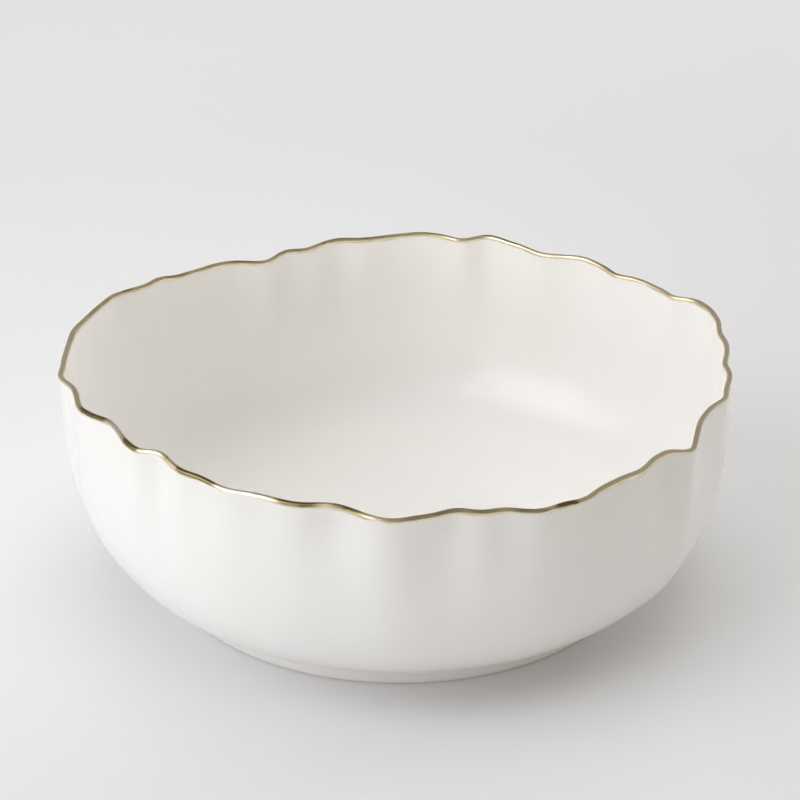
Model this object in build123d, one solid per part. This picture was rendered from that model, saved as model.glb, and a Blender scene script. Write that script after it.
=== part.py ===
from build123d import *
import os

import numpy as np

# Porcelain serving bowl: a round foot, a full belly and an edge pinched by hand all the way round,
# glazed inside and out, with a gold line painted over the lip. Millimetres, +Z up, and the origin is the
# middle of the foot on the table.

# ---------------------------------------------------------------------------- driving dimensions
FOOT_RADIUS = 94.0          # outside of the foot near the table
FOOT_WALL = 6.0             # thickness of the foot near the table
FOOT_HEIGHT = 8.0           # table to the underside of the body
FOOT_DRAFT = 1.7            # the foot is this much wider where it meets the body
FOOT_EASE = 0.8             # the foot's lower corners are rubbed back by this
GLAZE_STOP = 1.0            # glaze is wiped off the foot below this height
RECESS_DRAFT = 1.0          # the hollow under the bowl is this much wider at the table

BELLY_ANGLE = 18.5          # degrees above level at which the wall leaves the foot
BELLY_REACH = 40.0          # how far that first direction is kept: a larger number is a fuller belly
WALL_UPRIGHT = 34.0         # how far down from the edge the wall stays upright

FLOOR_TOP = 12.5            # height of the glazed floor inside
FLOOR_RADIUS = 87.0         # flat part of the floor
FLOOR_SWEEP = 40.0          # how far the floor's direction is kept as it turns up into the wall
INNER_UPRIGHT = 29.0        # how far down from the edge the inside of the wall stays upright

LIP = 2.4                   # thickness of the finished lip, gold included
GLAZE = 0.3                 # thickness of the glaze
GOLD = 0.22                 # thickness of the gold line
GOLD_OUTSIDE = 1.9          # depth of the gold line below the edge, outside
GOLD_INSIDE = 1.6           # and inside

FADE = 950.0                # a wave that goes k times round the bowl fades by 1/e in FADE / k of drop
SOFTEN = 1.1                # degrees over which the pinched corners of the edge are rounded
WAVES = 72                  # waves round the bowl that are kept
AROUND = 144                # points on each ring of the model

# The edge, station by station: bearing in degrees, reach from the axis, height above the table.
# Crests and pinches follow each other unevenly, as fingers leave them.
EDGE = [
    (3, 131.5, 92.0), (7, 133.0, 92.5), (11, 132.5, 92.5), (15, 135.5, 93.5), (20, 136.5, 94.0),
    (24, 136.0, 93.5), (26, 134.5, 93.0), (28, 130.5, 92.0), (31, 131.0, 92.0), (36, 130.5, 92.0),
    (40, 129.5, 92.0), (43, 127.5, 91.0), (49, 130.5, 92.0), (53, 131.0, 92.5), (57, 129.0, 91.5),
    (61, 127.0, 91.0), (65, 129.0, 92.0), (69, 131.0, 92.5), (73, 133.0, 93.5), (75, 131.0, 92.5),
    (78, 128.0, 91.5), (81, 130.0, 92.5), (86, 131.0, 93.0), (93, 129.0, 92.0), (97, 128.0, 91.5),
    (103, 129.0, 92.0), (106, 127.5, 91.0), (110, 125.0, 90.0), (113, 126.5, 91.0), (115, 125.0, 90.0),
    (119, 121.5, 89.0), (124, 125.5, 90.5), (127, 127.5, 91.0), (134, 128.0, 91.0), (139, 128.5, 91.5),
    (141, 131.5, 92.5), (145, 131.0, 92.0), (150, 133.0, 93.0), (153, 135.0, 93.5), (159, 135.0, 93.0),
    (164, 135.0, 93.0), (169, 135.5, 93.5), (175, 134.5, 92.0), (182, 134.0, 92.0), (187, 135.0, 92.0),
    (189, 131.5, 92.0), (193, 129.5, 93.0), (196, 130.0, 92.5), (199, 130.5, 92.0), (203, 128.5, 93.0),
    (208, 125.0, 94.5), (211, 125.0, 94.5), (217, 127.0, 93.5), (221, 126.5, 93.5), (223, 123.5, 95.0),
    (226, 124.0, 94.5), (230, 126.5, 93.5), (235, 126.0, 93.5), (240, 127.5, 92.5), (246, 126.5, 93.0),
    (253, 127.5, 92.5), (259, 126.0, 93.5), (262, 127.0, 92.5), (266, 130.0, 91.0), (269, 131.0, 90.5),
    (272, 129.5, 91.0), (275, 129.0, 91.5), (279, 127.0, 92.5), (283, 129.5, 91.5), (287, 129.0, 91.5),
    (292, 132.5, 90.0), (298, 131.5, 90.5), (300, 132.5, 90.0), (304, 130.0, 91.5), (309, 129.0, 92.0),
    (313, 130.0, 92.0), (318, 127.5, 93.0), (322, 128.5, 92.5), (325, 133.5, 90.0), (328, 131.0, 91.5),
    (332, 128.0, 93.0), (336, 127.0, 93.5), (340, 128.0, 93.5), (345, 131.0, 92.0), (348, 130.0, 92.5),
    (355, 131.0, 92.0), (359, 129.0, 92.0),
]


# ---------------------------------------------------------------------------- the edge and its waves
def edge_waves(column):
    """The edge's reach or height as a sum of waves: term 0 is its mean, term k goes k times round."""
    table = np.array(EDGE)
    bearings = np.arange(0.0, 360.0, 0.5)
    samples = np.interp(bearings, table[:, 0], table[:, column], period=360.0)
    terms = np.fft.rfft(samples) / len(samples)
    terms[1:] *= 2.0
    softening = np.exp(-0.5 * (np.arange(len(terms)) * np.radians(SOFTEN)) ** 2)
    return (terms * softening)[: WAVES + 1]


REACH_WAVES = edge_waves(1)
RISE_WAVES = edge_waves(2)
MEAN_REACH = REACH_WAVES[0].real
MEAN_RISE = RISE_WAVES[0].real


def ring(reach, height):
    """A closed curve round the bowl: a circle that takes on the edge's waves, fading on the way down."""
    turn = np.arange(AROUND) * 2.0 * np.pi / AROUND
    order = np.arange(1, WAVES + 1)
    waves = np.exp(1j * np.outer(turn, order))
    drop = max(0.0, MEAN_RISE - height)
    calm = max(0.0, 1.0 - (drop / (MEAN_RISE - FOOT_HEIGHT)) ** 2)
    hold = calm * np.exp(-order * drop / FADE)
    lift = np.clip((height - FLOOR_TOP) / (MEAN_RISE - FLOOR_TOP), 0.0, 1.0)
    r = reach + (waves @ (hold * REACH_WAVES[1:])).real
    z = height + lift * (waves @ RISE_WAVES[1:]).real
    points = [(float(x), float(y), float(h)) for x, y, h in zip(r * np.cos(turn), r * np.sin(turn), z)]
    knots = [float(k) for k in np.append(turn, 2.0 * np.pi)]
    return Wire([Edge.make_spline(points, periodic=True, parameters=knots)])


# ---------------------------------------------------------------------------- the wall's section
def bezier(start, leave, arrive, end, steps):
    """Points and left-hand normals of a cubic curve in the plane of the section."""
    t = np.array(steps)[:, None]
    p = [np.array(q, float) for q in (start, leave, arrive, end)]
    points = (1 - t) ** 3 * p[0] + 3 * (1 - t) ** 2 * t * p[1] + 3 * (1 - t) * t**2 * p[2] + t**3 * p[3]
    along = (1 - t) ** 2 * (p[1] - p[0]) + 2 * (1 - t) * t * (p[2] - p[1]) + t**2 * (p[3] - p[2])
    along /= np.linalg.norm(along, axis=1)[:, None]
    return points, np.stack([-along[:, 1], along[:, 0]], axis=1)


WALL_STEPS = [0.0, 0.1, 0.2, 0.3, 0.42, 0.55, 0.7, 0.85, 1.0]
LIP_STEPS = np.radians([30.0, 60.0, 90.0])
LIP_MIDDLE = MEAN_REACH - LIP / 2
LIP_CENTRE = MEAN_RISE - LIP / 2
CLAY_LIP = LIP / 2 - GOLD - GLAZE
GLAZE_LIP = LIP / 2 - GOLD
GOLD_LIP = LIP / 2
CREASE = FOOT_RADIUS + FOOT_DRAFT
RECESS = FOOT_RADIUS - FOOT_WALL


def outer_wall(sink):
    """Section of the outside wall, foot to gold line, set back by sink from the face of the glaze."""
    angle = np.radians(BELLY_ANGLE)
    start = (CREASE, FOOT_HEIGHT)
    leave = (CREASE + BELLY_REACH * np.cos(angle), FOOT_HEIGHT + BELLY_REACH * np.sin(angle))
    end = (LIP_MIDDLE + GLAZE_LIP, MEAN_RISE - GOLD_OUTSIDE)
    arrive = (end[0], end[1] - WALL_UPRIGHT)
    points, left = bezier(start, leave, arrive, end, WALL_STEPS)
    points = points + sink * left
    points[0] = (CREASE - sink, FOOT_HEIGHT)
    return points


def inner_wall(sink):
    """Section of the inside wall, gold line to floor, set back by sink from the face of the glaze."""
    start = (LIP_MIDDLE - GLAZE_LIP, MEAN_RISE - GOLD_INSIDE)
    leave = (start[0], start[1] - INNER_UPRIGHT)
    end = (FLOOR_RADIUS, FLOOR_TOP)
    arrive = (FLOOR_RADIUS + FLOOR_SWEEP, FLOOR_TOP)
    points, left = bezier(start, leave, arrive, end, WALL_STEPS)
    return points + sink * left


def half_lip(radius, depth, side):
    """Section of half the lip, from depth below the edge to its crown; side is 1 outside, -1 inside."""
    face = LIP_MIDDLE + side * radius
    run = [(face, height) for height in np.linspace(MEAN_RISE - depth, LIP_CENTRE, 3)]
    arc = [(LIP_MIDDLE + side * radius * np.cos(a), LIP_CENTRE + radius * np.sin(a)) for a in LIP_STEPS]
    return np.array(run + arc)


def foot_side(sink):
    """Section of the foot's outer side above the bare clay, set back by sink from the glaze face."""
    return [(FOOT_RADIUS - sink, GLAZE_STOP), (CREASE - sink, FOOT_HEIGHT)]


# ---------------------------------------------------------------------------- skins and solids
def skin(section):
    """The smooth face through the rings of a section."""
    return Shell.make_loft([ring(reach, height) for reach, height in section]).faces()[0]


def strip(first, second):
    """The straight-sided face between two rings."""
    return Shell.make_loft([ring(*first), ring(*second)], ruled=True).faces()[0]


def disc(point):
    """The flat face inside a level ring."""
    return Face(ring(*point))


def turned(outline):
    """A solid turned about the axis from an outline of (radius, height) points."""
    return revolve(Plane.XZ * make_face(Polyline(*outline, close=True)), Axis.Z)


def lip_skins(radius):
    """The outer and inner halves of a lip of the given radius."""
    return skin(half_lip(radius, GOLD_OUTSIDE, 1)), skin(half_lip(radius, GOLD_INSIDE, -1))


CLAY_OUTSIDE = skin(outer_wall(GLAZE))
CLAY_INSIDE = skin(inner_wall(GLAZE))
CLAY_EDGE = lip_skins(CLAY_LIP)
GLAZE_EDGE = lip_skins(GLAZE_LIP)
CLAY_CROWN = (LIP_MIDDLE, LIP_CENTRE + CLAY_LIP)
GLAZE_CROWN = (LIP_MIDDLE, LIP_CENTRE + GLAZE_LIP)
CROWN_STRIP = strip(CLAY_CROWN, GLAZE_CROWN)


# ---------------------------------------------------------------------------- the pieces
def porcelain_body():
    """The fired clay wall and floor, with a flat underside that the foot is stuck to."""
    underside = disc(outer_wall(GLAZE)[0])
    floor = disc(inner_wall(GLAZE)[-1])
    return Solid(Shell([underside, CLAY_OUTSIDE, *CLAY_EDGE, CLAY_INSIDE, floor]))


def foot_ring():
    """The turned foot: a clay ring whose lower corners are eased and whose flat is left bare."""
    ground_outside = FOOT_RADIUS - GLAZE - FOOT_EASE
    return turned([
        (CREASE - GLAZE, FOOT_HEIGHT),
        (FOOT_RADIUS - GLAZE, GLAZE_STOP),
        (ground_outside, 0.0),
        (RECESS + FOOT_EASE, 0.0),
        (RECESS, GLAZE_STOP),
        (RECESS - RECESS_DRAFT, FOOT_HEIGHT),
    ])


def outer_glaze():
    """The coat outside: up the foot and the wall to the crown of the lip."""
    clay_foot = foot_side(GLAZE)
    glaze_foot = foot_side(0.0)
    return Solid(Shell([
        strip(*clay_foot),
        strip(clay_foot[0], glaze_foot[0]),
        strip(*glaze_foot),
        CLAY_OUTSIDE,
        skin(outer_wall(0.0)),
        CLAY_EDGE[0],
        GLAZE_EDGE[0],
        CROWN_STRIP,
    ]))


def inner_glaze():
    """The coat inside: from the crown of the lip down the wall and over the floor."""
    clay_floor = disc(inner_wall(GLAZE)[-1])
    glaze_floor = disc(inner_wall(0.0)[-1])
    return Solid(Shell([
        clay_floor,
        glaze_floor,
        CLAY_INSIDE,
        skin(inner_wall(0.0)),
        CLAY_EDGE[1],
        GLAZE_EDGE[1],
        CROWN_STRIP,
    ]))


def underside_glaze():
    """The coat in the hollow under the bowl, and down the inner side of the foot."""
    top = RECESS - RECESS_DRAFT
    return turned([
        (0.0, FOOT_HEIGHT),
        (0.0, FOOT_HEIGHT - GLAZE),
        (top - GLAZE, FOOT_HEIGHT - GLAZE),
        (RECESS - GLAZE, GLAZE_STOP),
        (RECESS, GLAZE_STOP),
        (top, FOOT_HEIGHT),
    ])


def rim_gold_band():
    """The painted gold, wrapped over the lip on top of both coats of glaze."""
    outside_edge = strip(half_lip(GLAZE_LIP, GOLD_OUTSIDE, 1)[0], half_lip(GOLD_LIP, GOLD_OUTSIDE, 1)[0])
    inside_edge = strip(half_lip(GLAZE_LIP, GOLD_INSIDE, -1)[0], half_lip(GOLD_LIP, GOLD_INSIDE, -1)[0])
    return Solid(Shell([outside_edge, *GLAZE_EDGE, *lip_skins(GOLD_LIP), inside_edge]))


PIECES = [porcelain_body, foot_ring, outer_glaze, inner_glaze, underside_glaze, rim_gold_band]
os.makedirs("parts", exist_ok=True)
for make in PIECES:
    piece = make()
    print(make.__name__, "volume", round(piece.volume), "valid", piece.is_valid)
    export_step(piece, f"parts/{make.__name__}.step")
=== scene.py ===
# %% [markdown]
# # A porcelain serving bowl with a pinched, gilded edge
# The bowl is one firing of clay with three coats on it: glaze outside, glaze inside and under, and a line of
# gold painted over the lip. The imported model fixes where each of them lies. This lesson makes the surfaces that
# are seen: smooth enough for a gloss glaze to reflect softly, and uneven in the way that fingers leave them.

# %% Load the fixed model
import math

import bpy
import numpy as np
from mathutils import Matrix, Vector


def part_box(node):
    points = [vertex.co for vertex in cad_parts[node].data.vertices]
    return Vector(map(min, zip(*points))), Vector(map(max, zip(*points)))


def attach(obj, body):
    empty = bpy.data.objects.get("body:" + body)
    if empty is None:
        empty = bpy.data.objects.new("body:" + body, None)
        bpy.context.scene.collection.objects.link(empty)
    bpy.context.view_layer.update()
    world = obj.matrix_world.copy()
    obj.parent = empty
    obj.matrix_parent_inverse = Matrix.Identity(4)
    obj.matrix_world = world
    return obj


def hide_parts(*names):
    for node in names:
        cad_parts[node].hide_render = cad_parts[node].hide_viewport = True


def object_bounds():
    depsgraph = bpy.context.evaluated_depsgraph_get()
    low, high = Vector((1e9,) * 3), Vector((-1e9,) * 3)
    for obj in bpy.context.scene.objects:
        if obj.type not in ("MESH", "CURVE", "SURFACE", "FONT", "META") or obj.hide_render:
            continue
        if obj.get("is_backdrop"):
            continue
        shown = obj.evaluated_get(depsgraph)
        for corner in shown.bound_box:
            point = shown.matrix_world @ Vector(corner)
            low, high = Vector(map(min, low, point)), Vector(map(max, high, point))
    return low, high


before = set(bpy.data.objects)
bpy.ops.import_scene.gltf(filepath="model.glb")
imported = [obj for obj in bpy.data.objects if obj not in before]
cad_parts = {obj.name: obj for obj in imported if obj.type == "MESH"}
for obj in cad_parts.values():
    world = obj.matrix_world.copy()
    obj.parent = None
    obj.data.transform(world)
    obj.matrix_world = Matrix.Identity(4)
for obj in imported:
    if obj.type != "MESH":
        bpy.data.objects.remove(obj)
cad_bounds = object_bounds()
print("nodes:", ", ".join(sorted(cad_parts)))

# %% [markdown]
# ## Sizes
# A potter would take these with callipers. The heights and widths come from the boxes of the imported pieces, so
# that the surfaces drawn here lie on the solids. Only what a box can't tell is written down: how thick the coats
# are, how far down the gold reaches, and how the wall swings out of the foot.

# %% Sizes in metres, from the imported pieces
MM = 0.001


def box_of(node):
    """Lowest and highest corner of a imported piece, as two arrays."""
    low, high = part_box(node)
    return np.array(low), np.array(high)


foot_high = box_of("foot_ring")[1]
hollow_low, hollow_high = box_of("underside_glaze")
inside_low = box_of("inner_glaze")[0]

GLAZE = 0.3 * MM
GOLD = 0.22 * MM
LIP = 2.4 * MM
GOLD_OUTSIDE = 1.9 * MM
GOLD_INSIDE = 1.6 * MM

FOOT_HEIGHT = foot_high[2]
CREASE = foot_high[0] + GLAZE
GLAZE_STOP = hollow_low[2]
RECESS = hollow_high[0]
FLOOR_TOP = inside_low[2] + GLAZE
FOOT_RADIUS = CREASE - 1.7 * MM
FOOT_EASE = 0.8 * MM
RECESS_DRAFT = 1.0 * MM

BELLY_ANGLE = math.radians(18.5)
BELLY_REACH = 40 * MM
WALL_UPRIGHT = 34 * MM
FLOOR_RADIUS = 87 * MM
FLOOR_SWEEP = 40 * MM
INNER_UPRIGHT = 29 * MM

FADE = 950 * MM
SOFTEN = math.radians(1.1)
WAVES = 72
print(f"foot {2e3 * FOOT_RADIUS:.1f} mm across, {1e3 * FOOT_HEIGHT:.1f} mm high; floor at {1e3 * FLOOR_TOP:.1f} mm")

# %% [markdown]
# ## The pinched edge
# Fingers press the wet edge in and out, so it wanders in plan and in height. It is written down as stations
# round the bowl: bearing in degrees, reach from the axis and height in millimetres. A Fourier sum of the
# stations gives the same edge as waves that go once, twice, three times round. That form is worth the trouble,
# because stretched clay lets go of short waves sooner than long ones: each wave fades down the wall by its own
# order, which leaves deep flutes long and small ripples short, as on the real wall.

# %% Stations of the edge, and their waves
EDGE = [
    (3, 131.5, 92.0), (7, 133.0, 92.5), (11, 132.5, 92.5), (15, 135.5, 93.5), (20, 136.5, 94.0),
    (24, 136.0, 93.5), (26, 134.5, 93.0), (28, 130.5, 92.0), (31, 131.0, 92.0), (36, 130.5, 92.0),
    (40, 129.5, 92.0), (43, 127.5, 91.0), (49, 130.5, 92.0), (53, 131.0, 92.5), (57, 129.0, 91.5),
    (61, 127.0, 91.0), (65, 129.0, 92.0), (69, 131.0, 92.5), (73, 133.0, 93.5), (75, 131.0, 92.5),
    (78, 128.0, 91.5), (81, 130.0, 92.5), (86, 131.0, 93.0), (93, 129.0, 92.0), (97, 128.0, 91.5),
    (103, 129.0, 92.0), (106, 127.5, 91.0), (110, 125.0, 90.0), (113, 126.5, 91.0), (115, 125.0, 90.0),
    (119, 121.5, 89.0), (124, 125.5, 90.5), (127, 127.5, 91.0), (134, 128.0, 91.0), (139, 128.5, 91.5),
    (141, 131.5, 92.5), (145, 131.0, 92.0), (150, 133.0, 93.0), (153, 135.0, 93.5), (159, 135.0, 93.0),
    (164, 135.0, 93.0), (169, 135.5, 93.5), (175, 134.5, 92.0), (182, 134.0, 92.0), (187, 135.0, 92.0),
    (189, 131.5, 92.0), (193, 129.5, 93.0), (196, 130.0, 92.5), (199, 130.5, 92.0), (203, 128.5, 93.0),
    (208, 125.0, 94.5), (211, 125.0, 94.5), (217, 127.0, 93.5), (221, 126.5, 93.5), (223, 123.5, 95.0),
    (226, 124.0, 94.5), (230, 126.5, 93.5), (235, 126.0, 93.5), (240, 127.5, 92.5), (246, 126.5, 93.0),
    (253, 127.5, 92.5), (259, 126.0, 93.5), (262, 127.0, 92.5), (266, 130.0, 91.0), (269, 131.0, 90.5),
    (272, 129.5, 91.0), (275, 129.0, 91.5), (279, 127.0, 92.5), (283, 129.5, 91.5), (287, 129.0, 91.5),
    (292, 132.5, 90.0), (298, 131.5, 90.5), (300, 132.5, 90.0), (304, 130.0, 91.5), (309, 129.0, 92.0),
    (313, 130.0, 92.0), (318, 127.5, 93.0), (322, 128.5, 92.5), (325, 133.5, 90.0), (328, 131.0, 91.5),
    (332, 128.0, 93.0), (336, 127.0, 93.5), (340, 128.0, 93.5), (345, 131.0, 92.0), (348, 130.0, 92.5),
    (355, 131.0, 92.0), (359, 129.0, 92.0),
]


def edge_waves(column):
    """Fourier terms of the stations, in metres: the straight-line reading at each half degree, transformed,
    each term shrunk by a bell curve of its order so that corners come out rounded."""
    table = np.array(EDGE)
    bearings = np.arange(0.0, 360.0, 0.5)
    samples = np.interp(bearings, table[:, 0], table[:, column], period=360.0) * MM
    terms = np.fft.rfft(samples) / len(samples)
    terms[1:] *= 2.0
    return (terms * np.exp(-0.5 * (np.arange(len(terms)) * SOFTEN) ** 2))[: WAVES + 1]


REACH_WAVES = edge_waves(1)
RISE_WAVES = edge_waves(2)
MEAN_REACH = REACH_WAVES[0].real
MEAN_RISE = RISE_WAVES[0].real
print(f"edge: mean reach {1e3 * MEAN_REACH:.2f} mm, mean height {1e3 * MEAN_RISE:.2f} mm, {len(EDGE)} stations")

# %% [markdown]
# ## The flutes below the edge
# A finger that pinches the edge also draws a groove down the wall. A groove is deepest a little below the lip and
# dies out on the belly, and the wall is so thin that it shows as a groove outside and a rib inside. Each is
# written as its bearing, its half-width in degrees, its depth and how far down it reaches.

# %% Flutes
FLUTES = [
    (8, 1.7, 0.35, 30), (14.5, 1.6, 0.3, 34), (21, 1.9, 0.35, 30), (30, 2.2, 0.5, 32), (41, 2.6, 0.5, 30),
    (51, 3.0, 0.45, 34), (64, 3.4, 0.5, 30), (76, 2.8, 0.5, 34), (87, 3.0, 0.5, 32), (97, 2.6, 0.9, 40),
    (106.5, 2.8, 1.5, 46), (117.5, 2.9, 1.6, 44), (128, 2.7, 0.8, 36), (144, 4.0, 0.7, 36), (157, 3.4, 0.6, 30),
    (171, 3.8, 0.6, 34), (184, 3.0, 0.5, 28), (200, 3.4, 0.45, 30), (214, 3.0, 0.5, 34), (225, 2.8, 0.5, 28),
    (237, 3.2, 0.4, 28), (247, 2.6, 0.3, 24), (258.8, 4.4, 1.2, 31), (276, 4.2, 1.1, 54), (290, 4.4, 0.5, 40),
    (304, 3.4, 0.4, 26), (318, 3.8, 0.5, 28), (332, 3.0, 0.5, 28), (345, 3.0, 0.45, 30), (356, 1.6, 0.3, 28),
]
FLUTE_START = 1.0 * MM
FLUTE_FULL = 9.0 * MM
print(f"{len(FLUTES)} flutes, the deepest {max(depth for _, _, depth, _ in FLUTES):.1f} mm")


def smooth_step(x):
    """3x^2 - 2x^3 on x held between 0 and 1."""
    x = np.clip(x, 0, 1)
    return x * x * (3 - 2 * x)


def flutes(turn, drop):
    """How far the wall is pressed in, in metres: the sum of depth * exp(-(angle / half-width)^2), eased in
    below the lip and out again at the groove's length."""
    pressed = np.zeros(np.broadcast_shapes(turn.shape, drop.shape))
    for bearing, width, depth, length in FLUTES:
        angle = np.degrees(np.angle(np.exp(1j * (turn - math.radians(bearing)))))
        eased_in = smooth_step((drop - FLUTE_START) / (FLUTE_FULL - FLUTE_START))
        eased_out = 1 - smooth_step((drop / MM - 0.3 * length) / (0.7 * length))
        pressed = pressed + depth * MM * np.exp(-((angle / width) ** 2)) * eased_in * eased_out
    return pressed


# %% [markdown]
# ## A surface that carries the waves
# Every piece of this bowl is a section, carried once round. One function lays any section on the bowl: it takes
# the reach and height that the section would have on a perfectly round bowl, adds the waves that are left at
# that height, and presses the flutes in. It works on whole arrays, one row for each point of the section and one
# column for each bearing.

# %% Laying a section on the bowl
AROUND = 720
TURN = np.arange(AROUND) * 2 * np.pi / AROUND


def on_bowl(reach, height):
    """Points (row, column, xyz). Wave k at height z is worth exp(-k * drop / FADE) of itself at the edge, times
    a calming that is 1 at the edge and 0 at the foot; the edge's rise fades evenly down to the floor."""
    reach, height = np.broadcast_arrays(reach, height)
    drop = np.maximum(0.0, MEAN_RISE - height)
    calm = np.clip(1 - (drop / (MEAN_RISE - FOOT_HEIGHT)) ** 2, 0, 1)
    lift = np.clip((height - FLOOR_TOP) / (MEAN_RISE - FLOOR_TOP), 0, 1)
    wander = np.zeros(np.broadcast_shapes(height.shape, TURN[None].shape))
    rise = np.zeros(TURN.shape)
    for k in range(1, WAVES + 1):
        turn_k = np.exp(1j * k * TURN)
        wander = wander + np.exp(-k * drop / FADE) * (REACH_WAVES[k] * turn_k).real
        rise = rise + (RISE_WAVES[k] * turn_k).real
    r = reach + calm * wander - flutes(TURN, drop)
    z = height + lift * rise
    return np.stack(np.broadcast_arrays(r * np.cos(TURN), r * np.sin(TURN), z), axis=-1)


def column(points):
    """A section's list of (reach, height) as two columns, ready to be carried round."""
    points = np.asarray(points)
    return points[:, :1], points[:, 1:]


# %% [markdown]
# ## From a grid to a mesh
# A grid of points becomes quads by pairing each point with its neighbours, and the last column joins the first,
# so no seam is left. A section that starts or ends on the axis closes in one point there. The enclosed volume,
# summed over the triangles, says which way the faces point, and the order is turned round where it is negative.

# %% Mesh builder
def signed_volume(points, faces):
    """Sum of a . (b x c) / 6 over the triangles of quads and triangles, cubic metres."""
    a, b, c, d = (points[faces[:, i]] for i in range(4))
    return (np.einsum("ij,ij->", a, np.cross(b, c)) + np.einsum("ij,ij->", a, np.cross(c, d))) / 6


def add_piece(name, grid, pole_first=False, pole_last=False, closed=False):
    """A smooth mesh from a grid (row, column, xyz). closed joins the last row to the first."""
    rows, columns = grid.shape[:2]
    index = np.arange(rows * columns).reshape(rows, columns)
    lower = index if closed else index[:-1]
    upper = np.roll(index, -1, axis=0) if closed else index[1:]
    quads = np.stack([lower, np.roll(lower, -1, 1), np.roll(upper, -1, 1), upper], -1).reshape(-1, 4)
    if pole_first:
        quads[quads < columns] = 0
    if pole_last:
        quads[quads >= (rows - 1) * columns] = (rows - 1) * columns
    points = grid.reshape(-1, 3)
    volume = signed_volume(points, quads)
    if volume < 0:
        quads = quads[:, ::-1]
    used, quads = np.unique(quads, return_inverse=True)
    quads = quads.reshape(-1, 4)
    faces = [list(dict.fromkeys(face)) for face in quads.tolist()]
    mesh = bpy.data.meshes.new(name)
    mesh.from_pydata(points[used].tolist(), [], faces)
    mesh.polygons.foreach_set("use_smooth", np.ones(len(faces), bool))
    mesh.update()
    piece = bpy.data.objects.new(name, mesh)
    bpy.context.scene.collection.objects.link(piece)
    print(f"{name}: {len(used)} points, {len(faces)} faces, {abs(volume) * 1e6:.2f} cubic centimetres")
    return piece


def place(piece, node, material):
    """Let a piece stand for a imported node, ride with the bowl and take its finish."""
    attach(piece, "root")
    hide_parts(node)
    piece.data.materials.append(material)
    low, high = (1e3 * corner for corner in box_of(node))
    points = np.empty(len(piece.data.vertices) * 3)
    piece.data.vertices.foreach_get("co", points)
    points = 1e3 * points.reshape(-1, 3)
    gap = np.abs(np.concatenate([points.min(0) - low, points.max(0) - high])).max()
    print(f"{piece.name}: its box is within {gap:.2f} mm of the packed {node}")


# %% [markdown]
# ## The wall's section
# The outside leaves the foot at a shallow angle, fills out into a belly and stands upright below the edge; the
# inside runs level from the floor and turns up more slowly, so the wall is thin at the lip and thicker at the
# turn. Both are single cubic curves. A clay face lies one glaze thickness behind its glaze face, so the same
# function gives both.

# %% Section curves
def cubic(start, leave, arrive, end, steps):
    """Points of a cubic curve and the unit normals on its left: the usual weights (1-t)^3, 3(1-t)^2 t, 3(1-t)t^2,
    t^3 of the four corner points."""
    t = np.linspace(0, 1, steps)[:, None]
    p = [np.array(corner, float) for corner in (start, leave, arrive, end)]
    points = (1 - t) ** 3 * p[0] + 3 * (1 - t) ** 2 * t * p[1] + 3 * (1 - t) * t**2 * p[2] + t**3 * p[3]
    along = (1 - t) ** 2 * (p[1] - p[0]) + 2 * (1 - t) * t * (p[2] - p[1]) + t**2 * (p[3] - p[2])
    along /= np.linalg.norm(along, axis=1)[:, None]
    return points, np.stack([-along[:, 1], along[:, 0]], axis=1)


LIP_MIDDLE = MEAN_REACH - LIP / 2
LIP_CENTRE = MEAN_RISE - LIP / 2
GOLD_LIP = LIP / 2
GLAZE_LIP = GOLD_LIP - GOLD
CLAY_LIP = GLAZE_LIP - GLAZE


def outer_wall(sink, steps=72):
    """Outside of the wall from the foot to the gold, set back by sink."""
    out = np.array([math.cos(BELLY_ANGLE), math.sin(BELLY_ANGLE)])
    start = np.array([CREASE, FOOT_HEIGHT])
    end = np.array([LIP_MIDDLE + GLAZE_LIP, MEAN_RISE - GOLD_OUTSIDE])
    points, left = cubic(start, start + BELLY_REACH * out, end - [0, WALL_UPRIGHT], end, steps)
    points = points + sink * left
    points[0] = (CREASE - sink, FOOT_HEIGHT)
    return points


def inner_wall(sink, steps=72):
    """Inside of the wall from the gold to the edge of the flat floor, set back by sink."""
    start = np.array([LIP_MIDDLE - GLAZE_LIP, MEAN_RISE - GOLD_INSIDE])
    end = np.array([FLOOR_RADIUS, FLOOR_TOP])
    points, left = cubic(start, start - [0, INNER_UPRIGHT], end + [FLOOR_SWEEP, 0], end, steps)
    return points + sink * left


def half_lip(radius, depth, side, steps=9):
    """Half the lip from depth below the edge to the crown: a short upright run and a quarter of a circle."""
    face = LIP_MIDDLE + side * radius
    angle = np.linspace(0, np.pi / 2, steps)
    run = [(face, MEAN_RISE - depth), (face, (MEAN_RISE - depth + LIP_CENTRE) / 2)]
    arc = np.stack([LIP_MIDDLE + side * radius * np.cos(angle), LIP_CENTRE + radius * np.sin(angle)], 1)
    return np.concatenate([run, arc])


def floor_line(height, steps=14):
    """From the edge of the flat floor in to the axis."""
    reach = np.linspace(FLOOR_RADIUS, 0, steps)[1:]
    return np.stack([reach, np.full_like(reach, height)], 1)


# %% [markdown]
# ## Shared finishes
# The same marks run through every coat: a faint unevenness left by the hands, and the orange-peel ripple of a
# glaze that has run and frozen. They are built once, as node groups with named sockets, and each material sets
# its own strengths. The patterns read Object coordinates, so they stay put on the piece whatever looks at it.

# %% Node helpers
def new_group(name, inputs, outputs):
    """An empty shader node group with float, colour or vector sockets."""
    group = bpy.data.node_groups.new(name, "ShaderNodeTree")
    for label, kind, value in inputs:
        group.interface.new_socket(label, in_out="INPUT", socket_type=kind).default_value = value
    for label, kind in outputs:
        group.interface.new_socket(label, in_out="OUTPUT", socket_type=kind)
    return group, group.nodes.new("NodeGroupInput"), group.nodes.new("NodeGroupOutput")


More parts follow.
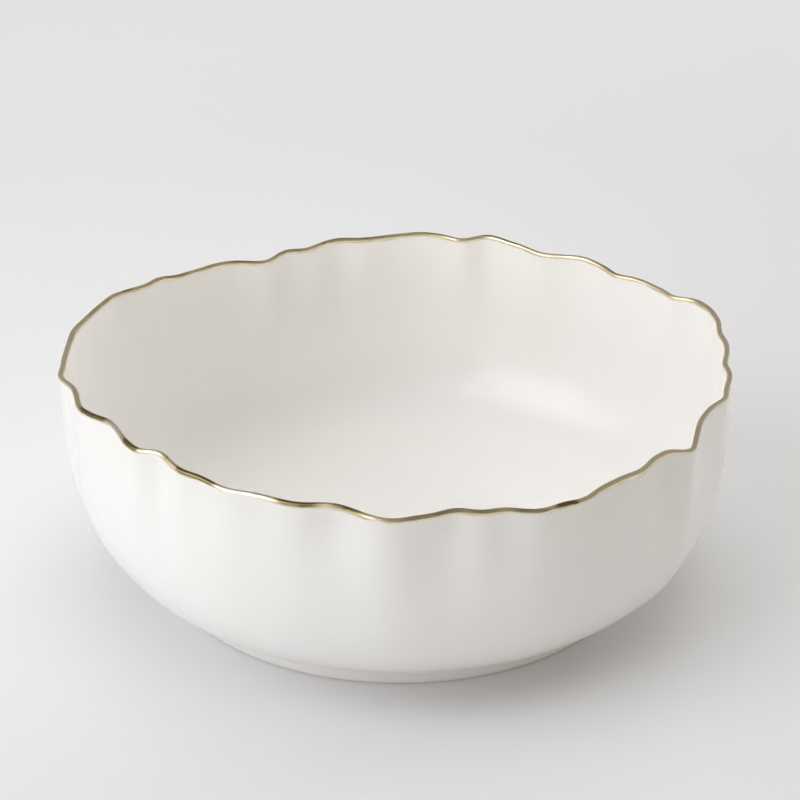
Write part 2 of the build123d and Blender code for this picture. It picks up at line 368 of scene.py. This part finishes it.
def add_noise(tree, coords, scale, detail=2.0, roughness=0.5, distortion=0.0):
    """A noise texture on given coordinates."""
    node = tree.nodes.new("ShaderNodeTexNoise")
    node.inputs["Scale"].default_value = scale
    node.inputs["Detail"].default_value = detail
    node.inputs["Roughness"].default_value = roughness
    node.inputs["Distortion"].default_value = distortion
    tree.links.new(coords, node.inputs["Vector"])
    return node.outputs["Fac"]


def spread(tree, value, low, high, to_low=0.0, to_high=1.0):
    """Read a value between low and high as to_low to to_high, clamped."""
    node = tree.nodes.new("ShaderNodeMapRange")
    for label, number in zip(("From Min", "From Max", "To Min", "To Max"), (low, high, to_low, to_high)):
        node.inputs[label].default_value = number
    tree.links.new(value, node.inputs["Value"])
    return node.outputs["Result"]


def maths(tree, operation, *values):
    """A math node on sockets or numbers."""
    node = tree.nodes.new("ShaderNodeMath")
    node.operation = operation
    for socket, value in zip(node.inputs, values):
        if isinstance(value, bpy.types.NodeSocket):
            tree.links.new(value, socket)
        else:
            socket.default_value = value
    return node.outputs["Value"]


def mix_colour(tree, amount, first, second):
    """Mix two colours, each a socket or a colour, by an amount."""
    node = tree.nodes.new("ShaderNodeMix")
    node.data_type = "RGBA"
    for socket, value in zip((node.inputs[0], node.inputs[6], node.inputs[7]), (amount, first, second)):
        if isinstance(value, bpy.types.NodeSocket):
            tree.links.new(value, socket)
        else:
            socket.default_value = value
    return node.outputs[2]


# %% [markdown]
# ## The maker's marks
# On a round pot the marks run round it or up and down it, not along x or y. So this group first puts a point on a
# circle of radius one at its own bearing, with its height kept. Noise read there makes long upright streaks, as
# fingers drag on a wall. Soft lumps and the fine ripple of the glaze are read at the point itself.

# %% Group: hand and glaze relief
def relief_group():
    """Height = streaks * noise(cos b, sin b, 1.1 z) + lumps * noise(xyz) + peel * fine noise(xyz), where b is the
    bearing. Cloud is a broad noise for colour and gloss."""
    group, given, made = new_group(
        "hand and glaze relief",
        [
            ("Streaks", "NodeSocketFloat", 0.3),
            ("Lumps", "NodeSocketFloat", 0.5),
            ("Peel", "NodeSocketFloat", 0.1),
        ],
        [("Height", "NodeSocketFloat"), ("Cloud", "NodeSocketFloat")],
    )
    coords = group.nodes.new("ShaderNodeTexCoord").outputs["Object"]
    apart = group.nodes.new("ShaderNodeSeparateXYZ")
    group.links.new(coords, apart.inputs[0])
    bearing = maths(group, "ARCTAN2", apart.outputs["Y"], apart.outputs["X"])
    around_x = maths(group, "COSINE", bearing)
    around_y = maths(group, "SINE", bearing)
    joined = group.nodes.new("ShaderNodeCombineXYZ")
    group.links.new(around_x, joined.inputs["X"])
    group.links.new(around_y, joined.inputs["Y"])
    group.links.new(maths(group, "MULTIPLY", apart.outputs["Z"], 1.1), joined.inputs["Z"])
    streaks = add_noise(group, joined.outputs[0], scale=16.0, detail=3.0, roughness=0.55)
    lumps = add_noise(group, coords, scale=26.0, detail=1.5, roughness=0.45)
    peel = add_noise(group, coords, scale=420.0, detail=1.0)
    cloud = add_noise(group, coords, scale=9.0, detail=3.0, roughness=0.6, distortion=0.4)
    total = maths(group, "MULTIPLY", streaks, given.outputs["Streaks"])
    total = maths(group, "MULTIPLY_ADD", lumps, given.outputs["Lumps"], total)
    total = maths(group, "MULTIPLY_ADD", peel, given.outputs["Peel"], total)
    group.links.new(total, made.inputs["Height"])
    group.links.new(cloud, made.inputs["Cloud"])
    return group


# %% [markdown]
# ## Where glaze is thick and where it is thin
# Melted glaze creeps off sharp edges and gathers in hollows. On white porcelain that shows as a hair's difference
# in colour: a little creamier near the lip, a little cooler where it lies deep. A few pinholes and iron specks
# are left in it, far apart.

# %% Group: glaze depth
def depth_group():
    """Colour = thick or thin by height and cloud, darkened in rare specks; Roughness varies with the cloud."""
    group, given, made = new_group(
        "glaze depth",
        [
            ("Thick", "NodeSocketColor", (0.9, 0.89, 0.86, 1)),
            ("Thin", "NodeSocketColor", (0.9, 0.88, 0.83, 1)),
            ("Speck", "NodeSocketColor", (0.55, 0.5, 0.42, 1)),
            ("Cloud", "NodeSocketFloat", 0.5),
            ("Smooth", "NodeSocketFloat", 0.1),
            ("Dull", "NodeSocketFloat", 0.2),
        ],
        [("Colour", "NodeSocketColor"), ("Roughness", "NodeSocketFloat")],
    )
    coords = group.nodes.new("ShaderNodeTexCoord").outputs["Object"]
    apart = group.nodes.new("ShaderNodeSeparateXYZ")
    group.links.new(coords, apart.inputs[0])
    near_lip = spread(group, apart.outputs["Z"], 0.070, 0.092)
    cloud = spread(group, given.outputs["Cloud"], 0.35, 0.65)
    thin = maths(group, "MULTIPLY_ADD", cloud, 0.4, maths(group, "MULTIPLY", near_lip, 0.6))
    colour = mix_colour(group, thin, given.outputs["Thick"], given.outputs["Thin"])
    cells = group.nodes.new("ShaderNodeTexVoronoi")
    cells.inputs["Scale"].default_value = 90.0
    group.links.new(coords, cells.inputs["Vector"])
    chosen = spread(group, add_noise(group, cells.outputs["Position"], scale=31.0, detail=0.0), 0.66, 0.70)
    dot = spread(group, cells.outputs["Distance"], 0.015, 0.045, 1.0, 0.0)
    speck = maths(group, "MULTIPLY", maths(group, "MULTIPLY", dot, chosen), 0.5)
    group.links.new(mix_colour(group, speck, colour, given.outputs["Speck"]), made.inputs["Colour"])
    dull = maths(group, "SUBTRACT", given.outputs["Dull"], given.outputs["Smooth"])
    group.links.new(maths(group, "MULTIPLY_ADD", cloud, dull, given.outputs["Smooth"]), made.inputs["Roughness"])
    return group


RELIEF = relief_group()
DEPTH = depth_group()
print("node groups:", RELIEF.name, "and", DEPTH.name)

# %% [markdown]
# ## The materials
# Three small helpers keep the recipes below short: a new material with its shader, a group placed with its values,
# and a height fed in as bump. The bump only carries the finest relief; every shape that can be seen is in the mesh.

# %% Material helpers
def new_material(name):
    """A material with a Principled shader; returns it, its tree and the shader."""
    material = bpy.data.materials.new(name)
    material.use_nodes = True
    tree = material.node_tree
    return material, tree, tree.nodes["Principled BSDF"]


def add_group(tree, group, **values):
    """Place a node group and set its inputs by name."""
    node = tree.nodes.new("ShaderNodeGroup")
    node.node_tree = group
    for label, value in values.items():
        node.inputs[label].default_value = value
    return node


def add_bump(tree, shader, height, distance):
    """Feed a height in through a Bump node; distance is the relief's full height in metres."""
    bump = tree.nodes.new("ShaderNodeBump")
    bump.inputs["Strength"].default_value = 1.0
    bump.inputs["Distance"].default_value = distance
    tree.links.new(height, bump.inputs["Height"])
    tree.links.new(bump.outputs["Normal"], shader.inputs["Normal"])


# %% [markdown]
# ## Glaze
# Glazed porcelain is a dense white body under a clear glass, so it is a Principled shader with a low roughness and
# an IOR of about 1.5. A little light is let in under the surface, which takes the chalkiness off. The gloss varies
# with the cloud, because a glaze never melts evenly.

# %% Glaze
def glaze_material(name, thick, thin, streaks):
    """Clear glaze with a soft gloss over white clay."""
    material, tree, shader = new_material(name)
    relief = add_group(tree, RELIEF, Streaks=streaks, Lumps=0.5, Peel=0.03)
    depth = add_group(tree, DEPTH, Thick=thick, Thin=thin, Smooth=0.16, Dull=0.26)
    tree.links.new(relief.outputs["Cloud"], depth.inputs["Cloud"])
    tree.links.new(depth.outputs["Colour"], shader.inputs["Base Color"])
    tree.links.new(depth.outputs["Roughness"], shader.inputs["Roughness"])
    shader.inputs["IOR"].default_value = 1.54
    shader.inputs["Subsurface Weight"].default_value = 0.12
    shader.inputs["Subsurface Radius"].default_value = (1.0, 0.85, 0.7)
    shader.inputs["Subsurface Scale"].default_value = 2.5 * MM
    add_bump(tree, shader, relief.outputs["Height"], 0.35 * MM)
    return material


# %% [markdown]
# ## Bare clay
# The foot is the same clay with no glass on it. It has a fine grain and stays matte, and it's a little warmer,
# because nothing bright lies over it.

# %% Bare clay
def clay_material():
    """Bare fired porcelain: matte, fine-grained, a little warmer than the glaze."""
    material, tree, shader = new_material("bare porcelain")
    relief = add_group(tree, RELIEF, Streaks=0.0, Lumps=0.2, Peel=0.5)
    coords = tree.nodes.new("ShaderNodeTexCoord").outputs["Object"]
    grain = add_noise(tree, coords, scale=900.0, detail=3.0, roughness=0.6)
    colour = mix_colour(tree, spread(tree, grain, 0.35, 0.7), (0.80, 0.77, 0.71, 1), (0.86, 0.84, 0.79, 1))
    tree.links.new(colour, shader.inputs["Base Color"])
    tree.links.new(spread(tree, relief.outputs["Cloud"], 0.3, 0.7, 0.55, 0.7), shader.inputs["Roughness"])
    add_bump(tree, shader, maths(tree, "MULTIPLY_ADD", grain, 0.5, relief.outputs["Height"]), 0.12 * MM)
    return material


# %% [markdown]
# ## Gold
# Gold is a metal whose colour and polish change along the brush stroke. The noise is stretched along the stroke,
# and a value kept on the mesh marks painted light in the colour: a painted dark reflection of dark surroundings
# where the brush also ran thin, and a painted pale highlight where it was wiped thin.

# %% Gold
def gold_material():
    """Hand-painted gold: bright where the brush was full; dark brown where the colour holds a painted reflection of
    dark surroundings over gold that ran thin, and pale cream where it holds a painted highlight over wiped gold.
    The attribute says where; the map runs along the stroke and across it."""
    material, tree, shader = new_material("painted gold")
    along = tree.nodes.new("ShaderNodeUVMap")
    along.uv_map = "brush"
    stretch = tree.nodes.new("ShaderNodeMapping")
    stretch.inputs["Scale"].default_value = (1.0, 5.0, 1.0)
    tree.links.new(along.outputs["UV"], stretch.inputs["Vector"])
    reflection_and_thinning = tree.nodes.new("ShaderNodeAttribute")
    reflection_and_thinning.attribute_name = "reflection_and_thinning"
    load = add_noise(tree, stretch.outputs["Vector"], scale=150.0, detail=3.0, roughness=0.6)
    hairs = add_noise(tree, stretch.outputs["Vector"], scale=700.0)
    full = mix_colour(tree, spread(tree, load, 0.35, 0.65), (0.75, 0.63, 0.40, 1), (0.95, 0.85, 0.63, 1))
    # The mesh attribute shifts the noise: high values give a painted dark reflection, low values a painted
    # highlight.
    ragged_reflection = maths(tree, "MULTIPLY_ADD", maths(tree, "SUBTRACT", load, 0.5), 0.9, reflection_and_thinning.outputs["Fac"])
    starved_dark_reflection = spread(tree, ragged_reflection, 0.25, 0.75)
    wiped_pale_highlight = spread(tree, ragged_reflection, -0.2, -0.8)
    # Painted highlight: pale cream where the gold was wiped thin.
    colour = mix_colour(tree, wiped_pale_highlight, full, (0.97, 0.90, 0.76, 1))
    # Painted reflection: dark brown where the gold ran thin and mirrors dark surroundings.
    tree.links.new(mix_colour(tree, starved_dark_reflection, colour, (0.235, 0.18, 0.09, 1)), shader.inputs["Base Color"])
    tree.links.new(spread(tree, load, 0.3, 0.7, 0.38, 0.26), shader.inputs["Roughness"])
    shader.inputs["Metallic"].default_value = 1.0
    add_bump(tree, shader, maths(tree, "MULTIPLY_ADD", hairs, 0.3, load), 0.08 * MM)
    return material


# %% [markdown]
# ## Four finishes
# The glaze inside is the same glaze as outside, set a little whiter as painted light that keeps the inside bright
# beside the lit outside, and it shows the streaks of the hand more. Each gets its own colours and strengths from
# the same recipe. The clay and the gold are one each.

# %% Make the materials
# The two copies of one glaze differ in whiteness as painted light: the inside copy is lighter than the outside one.
glaze_outside = glaze_material("outside glaze", (0.9, 0.889, 0.866, 1), (0.9, 0.877, 0.834, 1), 0.25)
glaze_inside = glaze_material("inside glaze", (0.94, 0.926, 0.902, 1), (0.94, 0.918, 0.882, 1), 0.6)
bare_clay = clay_material()
painted_gold = gold_material()
print("finishes:", ", ".join(finish.name for finish in (glaze_outside, glaze_inside, bare_clay, painted_gold)))

# %% [markdown]
# ## The coat outside
# The coat is a closed shell: up the foot and the wall to the crown of the lip, and back down on the clay. Where
# the wall leaves the foot, glaze runs together, so the corner is rounded there by a short curve; where the glaze
# was wiped off above the table it ends in a rolled bead.

# %% Outer glaze
POOL = 3.4 * MM


def rolled_end(x, z, width, steps=5):
    """Half a circle under a coat of the given width, from its inner to its outer face, at height z."""
    angle = np.linspace(np.pi, 2 * np.pi, steps)
    return np.stack([x - width / 2 + width / 2 * np.cos(angle), z + width / 2 * (1 + np.sin(angle))], 1)


def pooled_corner(below, corner, above, steps=7):
    """A quadratic curve (1-t)^2, 2(1-t)t, t^2 that cuts a corner."""
    t = np.linspace(0, 1, steps)[:, None]
    return (1 - t) ** 2 * below + 2 * (1 - t) * t * corner + t**2 * above


def outside_face():
    """Finished outside from the wiped edge up to the crown of the lip."""
    corner = np.array([CREASE, FOOT_HEIGHT])
    foot_edge = np.array([FOOT_RADIUS, GLAZE_STOP + GLAZE / 2])
    down = (foot_edge - corner) / np.linalg.norm(foot_edge - corner)
    wall = outer_wall(0.0)
    beyond = wall[np.linalg.norm(wall - corner, axis=1) > POOL]
    foot = np.linspace(foot_edge, corner + POOL * down, 7)[1:-1]
    bead = rolled_end(FOOT_RADIUS, GLAZE_STOP, GLAZE)
    pool = pooled_corner(corner + POOL * down, corner, beyond[0])
    return np.concatenate([bead, foot, pool, beyond[1:-1], half_lip(GLAZE_LIP, GOLD_OUTSIDE, 1)])


clay_up = np.concatenate([
    [(FOOT_RADIUS - GLAZE, GLAZE_STOP + GLAZE / 2)],
    outer_wall(GLAZE, 26)[:-1],
    half_lip(CLAY_LIP, GOLD_OUTSIDE, 1),
])
outer_section = np.concatenate([outside_face(), clay_up[:0:-1]])
outer_coat = add_piece("outer_glaze_coat", on_bowl(*column(outer_section)), closed=True)
place(outer_coat, "outer_glaze", glaze_outside)

# %% [markdown]
# ## The coat inside
# Glaze is poured in, swilled round and tipped out, so this coat is one cup: down the wall, over the floor to the
# middle, and back along the clay. It closes in a point at the middle of the floor on both faces.

# %% Inner glaze
inside_down = np.concatenate([half_lip(GLAZE_LIP, GOLD_INSIDE, -1)[::-1], inner_wall(0.0)[1:]])
clay_back = np.concatenate([half_lip(CLAY_LIP, GOLD_INSIDE, -1)[::-1], inner_wall(GLAZE, 20)[1:]])
cup = np.concatenate([
    floor_line(FLOOR_TOP - GLAZE)[::-1],
    clay_back[::-1],
    inside_down,
    floor_line(FLOOR_TOP),
])
inner_coat = add_piece("inner_glaze_coat", on_bowl(*column(cup)), pole_first=True, pole_last=True)
place(inner_coat, "inner_glaze", glaze_inside)

# %% [markdown]
# ## The clay
# The wall under the glaze is never seen, but it is the bowl: it gives the piece its weight, and it is what a
# chip would show. It runs from the middle of the underside, out, up, over the lip and back to the middle.

# %% Clay wall and floor
underside = np.stack([np.linspace(0, CREASE - GLAZE, 8), np.full(8, FOOT_HEIGHT)], 1)
clay_section = np.concatenate([
    underside,
    outer_wall(GLAZE, 40)[1:-1],
    half_lip(CLAY_LIP, GOLD_OUTSIDE, 1),
    clay_back[1:],
    floor_line(FLOOR_TOP - GLAZE),
])
clay_wall = add_piece("clay_wall", on_bowl(*column(clay_section)), pole_first=True, pole_last=True)
place(clay_wall, "porcelain_body", bare_clay)

# %% [markdown]
# ## The foot
# The foot is turned on the wheel, so it is truly round. Its lower corners are eased with a sponge and its flat is
# left bare, because glaze there would fuse it to the kiln shelf.

# %% Foot ring and the glaze in its hollow
def eased(corner_in, corner, corner_out, steps=5):
    """A sponged corner: a quadratic curve through the corner's neighbours."""
    return pooled_corner(np.array(corner_in), np.array(corner), np.array(corner_out), steps)


outer_foot = FOOT_RADIUS - GLAZE
foot_section = np.concatenate([
    [(CREASE - GLAZE, FOOT_HEIGHT)],
    eased((outer_foot, GLAZE_STOP), (outer_foot, 0), (outer_foot - FOOT_EASE, 0)),
    eased((RECESS + FOOT_EASE, 0), (RECESS, 0), (RECESS, GLAZE_STOP)),
    [(RECESS - RECESS_DRAFT, FOOT_HEIGHT)],
])
foot = add_piece("foot", on_bowl(*column(foot_section)), closed=True)
place(foot, "foot_ring", bare_clay)

hollow_top = RECESS - RECESS_DRAFT
hollow_turn = pooled_corner(
    np.array([hollow_top - GLAZE - POOL, FOOT_HEIGHT - GLAZE]),
    np.array([hollow_top - GLAZE, FOOT_HEIGHT - GLAZE]),
    np.array([hollow_top - GLAZE + 0.3 * MM, FOOT_HEIGHT - GLAZE - POOL]),
)
hollow_section = np.concatenate([
    np.stack([np.linspace(0, hollow_top, 16), np.full(16, FOOT_HEIGHT)], 1),
    rolled_end(RECESS, GLAZE_STOP, GLAZE)[::-1],
    hollow_turn[::-1],
    np.stack([np.linspace(hollow_top - GLAZE - POOL, 0, 16)[1:], np.full(15, FOOT_HEIGHT - GLAZE)], 1),
])
hollow_coat = add_piece("underside_glaze_coat", on_bowl(*column(hollow_section)), pole_first=True, pole_last=True)
place(hollow_coat, "underside_glaze", glaze_outside)

# %% [markdown]
# ## The gold line
# The line is painted by hand with a small brush on a turning wheel. Its two borders wander, here as sums of a few
# waves with fixed phases, it thins to nothing at both borders, and it is thickest over the crown. Where the brush
# ran thin the colour is painted dark, a painted reflection of dark surroundings, and where it was wiped thin it is
# painted pale, a painted highlight: those stretches are listed by bearing, half-width and darkness, and kept on the
# mesh as an attribute. The map runs along the stroke and across it, in metres, for the brush marks.

# %% Gold line
# Bearing, half-width and darkness: above zero a painted dark reflection over thin gold, below zero a painted pale
# highlight over wiped gold.
THIN_GOLD_AND_REFLECTIONS = [
    (8, 14, -0.55), (30, 6, -0.7), (56, 6, -0.8), (78, 2, -0.6), (180, 13, -0.6), (211.5, 3.2, -1), (223, 3, -0.9),
    (243.5, 4.2, -1), (266.3, 1.4, -0.9), (316, 11, -0.5), (342, 12, -0.55), (45, 3.5, 0.6), (70, 4.5, 0.75),
    (84, 3, 0.6), (99, 8, 0.7), (113, 4, 0.55), (123, 4, 0.8), (138, 3, 0.75), (150, 1.5, 0.9), (204, 5, 0.95),
    (218, 3.2, 0.95), (226, 0.8, 0.7), (234, 5, 1.0), (246, 0.8, 0.7), (253, 4.2, 0.9), (261.5, 3, 0.65),
    (277, 11, 0.5), (291, 3, 0.5), (297, 2.2, 0.85),
]
ACROSS = 40


# %% [markdown]
# ## The borders of the gold
# A hand-held brush on a turning wheel makes a border that wanders slowly, with faster, smaller shivers on top. A
# few cosines with fixed phases do that, and they join up after one turn.

# %% Borders of the gold line
def uneven_border(seed, orders, floor, top):
    """A border between floor and top: cosines of the given orders, phases from a fixed seed, rescaled."""
    rng = np.random.default_rng(seed)
    waves = sum(np.cos(k * TURN + rng.uniform(0, 2 * np.pi)) / k**0.35 for k in orders)
    waves = (waves - waves.min()) / np.ptp(waves)
    return floor + (top - floor) * waves


def near(bearing, width):
    """exp(-(angle / width)^4) of the angle from a bearing, in degrees: a soft-ended stretch of the edge."""
    angle = np.degrees(np.angle(np.exp(1j * (TURN - math.radians(bearing)))))
    return np.exp(-((angle / width) ** 4))


def gold_face(lift_by):
    """Reach, height and travel from the crown across the line, raised by lift_by times the rounded profile
    (1 - s^4)^(1/2) of s, which runs from -1 at the outside border to 1 at the inside border."""
    broad = near(319, 12)
    thin = np.sum([near(bearing, width) for bearing, width, amount in THIN_GOLD_AND_REFLECTIONS if amount <= -0.9], axis=0)
    below_out = uneven_border(3, (5, 8, 13, 21, 34, 55, 89), 0.25 * MM, 1.1 * MM)
    below_out = below_out * (1 - 0.7 * thin) + 0.6 * MM * broad
    below_in = uneven_border(4, (4, 9, 15, 23, 37, 61), 0.2 * MM, 1.0 * MM)
    s = np.linspace(-1, 1, ACROSS)[:, None]
    quarter = GLAZE_LIP * np.pi / 2
    travel = np.where(s < 0, s * (quarter + below_out), s * (quarter + below_in))
    side = np.where(travel < 0, 1.0, -1.0)
    angle = np.clip(quarter - np.abs(travel), 0, None) / GLAZE_LIP
    radius = GLAZE_LIP + lift_by * np.sqrt(1 - s**4)
    reach = LIP_MIDDLE + side * radius * np.cos(angle)
    height = LIP_CENTRE + radius * np.sin(angle) - np.clip(np.abs(travel) - quarter, 0, None)
    return reach, height, travel


# %% [markdown]
# ## Laying the gold on the lip
# The upper face is raised, the lower one sinks a hair into the glaze so that no gap shows, and both are carried
# round by the same function as the rest of the bowl. The painted reflections and highlights and the map are written
# on the mesh.

# %% Lay the gold line
top_reach, top_height, travel = gold_face(GOLD)
low_reach, low_height, _ = gold_face(-0.03 * MM)
gold_reach = np.concatenate([top_reach, low_reach[-2:0:-1]])
gold_height = np.concatenate([top_height, low_height[-2:0:-1]])
gold_line = add_piece("gold_line", on_bowl(gold_reach, gold_height), closed=True)

across = np.concatenate([travel, travel[-2:0:-1]])
reflection_and_thin_marks = np.sum([amount * near(bearing, width) for bearing, width, amount in THIN_GOLD_AND_REFLECTIONS], axis=0)
middle = np.exp(-(((across + 0.5 * MM) / (1.3 * MM)) ** 4))
# The attribute holds the gold's painted dark reflections and painted pale highlights, across the middle of the
# line.
reflection_and_thinning = gold_line.data.attributes.new("reflection_and_thinning", "FLOAT", "POINT")
reflection_and_thinning.data.foreach_set("value", (reflection_and_thin_marks * middle).ravel().astype(np.float32))

along = np.broadcast_to(TURN * MEAN_REACH, gold_reach.shape).ravel()
corner_point = np.empty(len(gold_line.data.loops), np.int32)
gold_line.data.loops.foreach_get("vertex_index", corner_point)
u = along[corner_point].reshape(-1, 4)
u = np.where(u < u.max(1, keepdims=True) - np.pi * MEAN_REACH, u + 2 * np.pi * MEAN_REACH, u)
brush = np.stack([u.ravel(), across.ravel()[corner_point]], 1)
gold_line.data.uv_layers.new(name="brush").data.foreach_set("uv", brush.ravel().astype(np.float32))
place(gold_line, "rim_gold_band", painted_gold)

# %% [markdown]
# ## The table
# One broad sheet of pale card, matte and almost plain, so that the bowl's own shape and its shadow are what is
# seen. It reaches six metres out on every side, so its edge shows only from low down, as a level horizon.

# %% Floor
def stage_material():
    """Matte card with a faint mottle, and painted shade: greyer to the right, where the light from the left falls
    off, and towards its far parts, away from the bowl.
    """
    material, tree, shader = new_material("pale card")
    coords = tree.nodes.new("ShaderNodeTexCoord").outputs["Object"]
    apart = tree.nodes.new("ShaderNodeSeparateXYZ")
    tree.links.new(coords, apart.inputs[0])
    mottle = add_noise(tree, coords, scale=7.0, detail=3.0)
    # Painted shade: the card's colour darkens to the right, where the light from the left falls off.
    shade_to_right = spread(tree, apart.outputs["X"], -0.25, 0.25)
    shaded_tone = mix_colour(tree, shade_to_right, (0.845, 0.85, 0.87, 1), (0.735, 0.735, 0.745, 1))
    # Painted shade: the colour darkens away from the middle, towards the far parts of the card.
    away = tree.nodes.new("ShaderNodeVectorMath")
    away.operation = "LENGTH"
    tree.links.new(coords, away.inputs[0])
    shaded_tone = mix_colour(tree, spread(tree, away.outputs["Value"], 0.16, 0.5, 0.0, 0.4), shaded_tone, (0.64, 0.64, 0.65, 1))
    colour = mix_colour(tree, spread(tree, mottle, 0.2, 0.8, 0.0, 0.08), shaded_tone, (0.7, 0.7, 0.7, 1))
    tree.links.new(colour, shader.inputs["Base Color"])
    shader.inputs["Roughness"].default_value = 0.85
    shader.inputs["Specular IOR Level"].default_value = 0.2
    return material


FLOOR_REACH = 6.0
corners = np.array([(-1, -1, 0), (1, -1, 0), (1, 1, 0), (-1, 1, 0)]) * FLOOR_REACH
card = bpy.data.meshes.new("card")
card.from_pydata(corners.tolist(), [], [(0, 1, 2, 3)])
card.materials.append(stage_material())
table = bpy.data.objects.new("table_card", card)
bpy.context.scene.collection.objects.link(table)
table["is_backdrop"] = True

# %% [markdown]
# ## The light
# Two large soft windows on the left make the bowl bright on that side and throw one soft shadow to the right. A
# low card fills the belly and the foot. The screens behind, above and to the right only lift the shadows, so they
# are kept out of the reflections, where they would show as patches. The room adds weak, warm light all round.

# %% Lights
def soft_light(name, bearing, height_angle, distance, size, colour):
    """A rectangular area light that looks at the bowl from a bearing and a height angle, both in degrees.
    Its colour holds its power in watts for red, green and blue."""
    data = bpy.data.lights.new(name, "AREA")
    data.shape = "RECTANGLE"
    data.size, data.size_y = size
    data.energy = max(colour)
    data.color = [part / max(colour) for part in colour]
    light = bpy.data.objects.new(name, data)
    turn, rise = math.radians(bearing), math.radians(height_angle)
    away = Vector((math.cos(rise) * math.cos(turn), math.cos(rise) * math.sin(turn), math.sin(rise)))
    light.location = Vector((0, 0, 0.05)) + distance * away
    light.rotation_euler = away.to_track_quat("Z", "Y").to_euler()
    bpy.context.scene.collection.objects.link(light)
    print(f"light {name}: {max(colour):.1f} W at bearing {bearing}, {height_angle} degrees up")
    return light


soft_light("window", 197, 25, 1.6, (1.5, 1.2), (7.0, 7.0, 7.2))
soft_light("upper window", 211, 40, 1.7, (1.4, 1.3), (8.3, 8.4, 8.6))
soft_light("low card", 226, 5, 1.2, (0.7, 0.2), (1.9, 1.9, 1.92))
for screen in (
    soft_light("far screen", 48, 20, 1.8, (1.6, 1.2), (11.9, 11.9, 11.9)),
    soft_light("back screen", 90, 40, 1.8, (1.5, 1.5), (6.6, 6.6, 6.6)),
    soft_light("ceiling", 0, 88, 1.8, (1.6, 1.6), (9.0, 9.0, 9.0)),
    soft_light("warm card", 325, 15, 1.8, (1.4, 0.7), (3.6, 3.2, 2.75)),
):
    screen.visible_glossy = False


def room_light():
    """The room's own light, warm, and a little darker in front: radiance rises with the direction's y."""
    world = bpy.data.worlds.new("room")
    world.use_nodes = True
    tree = world.node_tree
    room = tree.nodes["Background"]
    towards = tree.nodes.new("ShaderNodeTexCoord").outputs["Generated"]
    apart = tree.nodes.new("ShaderNodeSeparateXYZ")
    tree.links.new(towards, apart.inputs[0])
    tree.links.new(spread(tree, apart.outputs["Y"], -0.6, 0.4, 0.295, 0.32), room.inputs["Strength"])
    room.inputs["Color"].default_value = (1.0, 0.965, 0.90, 1)
    return world


bpy.context.scene.world = room_light()

# %% [markdown]
# ## The camera
# It looks down at the bowl from the front. A long lens from further off keeps the far side of the edge nearly as
# large as the near side, as in a catalogue.

# %% Camera
TARGET = np.array([0.0, 0.0, 0.074])
DISTANCE = 1.062
ELEVATION = math.radians(26.0)
camera_data = bpy.data.cameras.new("camera")
camera_data.lens = 120.0
camera_data.sensor_width = 36.0
camera = bpy.data.objects.new("camera", camera_data)
back = np.array([0.0, -math.cos(ELEVATION), math.sin(ELEVATION)])
camera.location = TARGET + DISTANCE * back
camera.rotation_euler = (math.pi / 2 - ELEVATION, 0.0, 0.0)
bpy.context.scene.collection.objects.link(camera)
bpy.context.scene.camera = camera
bpy.context.scene.view_settings.view_transform = "Standard"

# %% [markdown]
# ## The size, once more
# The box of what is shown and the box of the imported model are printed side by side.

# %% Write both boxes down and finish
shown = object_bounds()
boxes = {"cad": [list(corner) for corner in cad_bounds], "shown": [list(corner) for corner in shown]}
for name, box in boxes.items():
    print(name, "box in mm:", [[round(1e3 * value, 1) for value in corner] for corner in box])
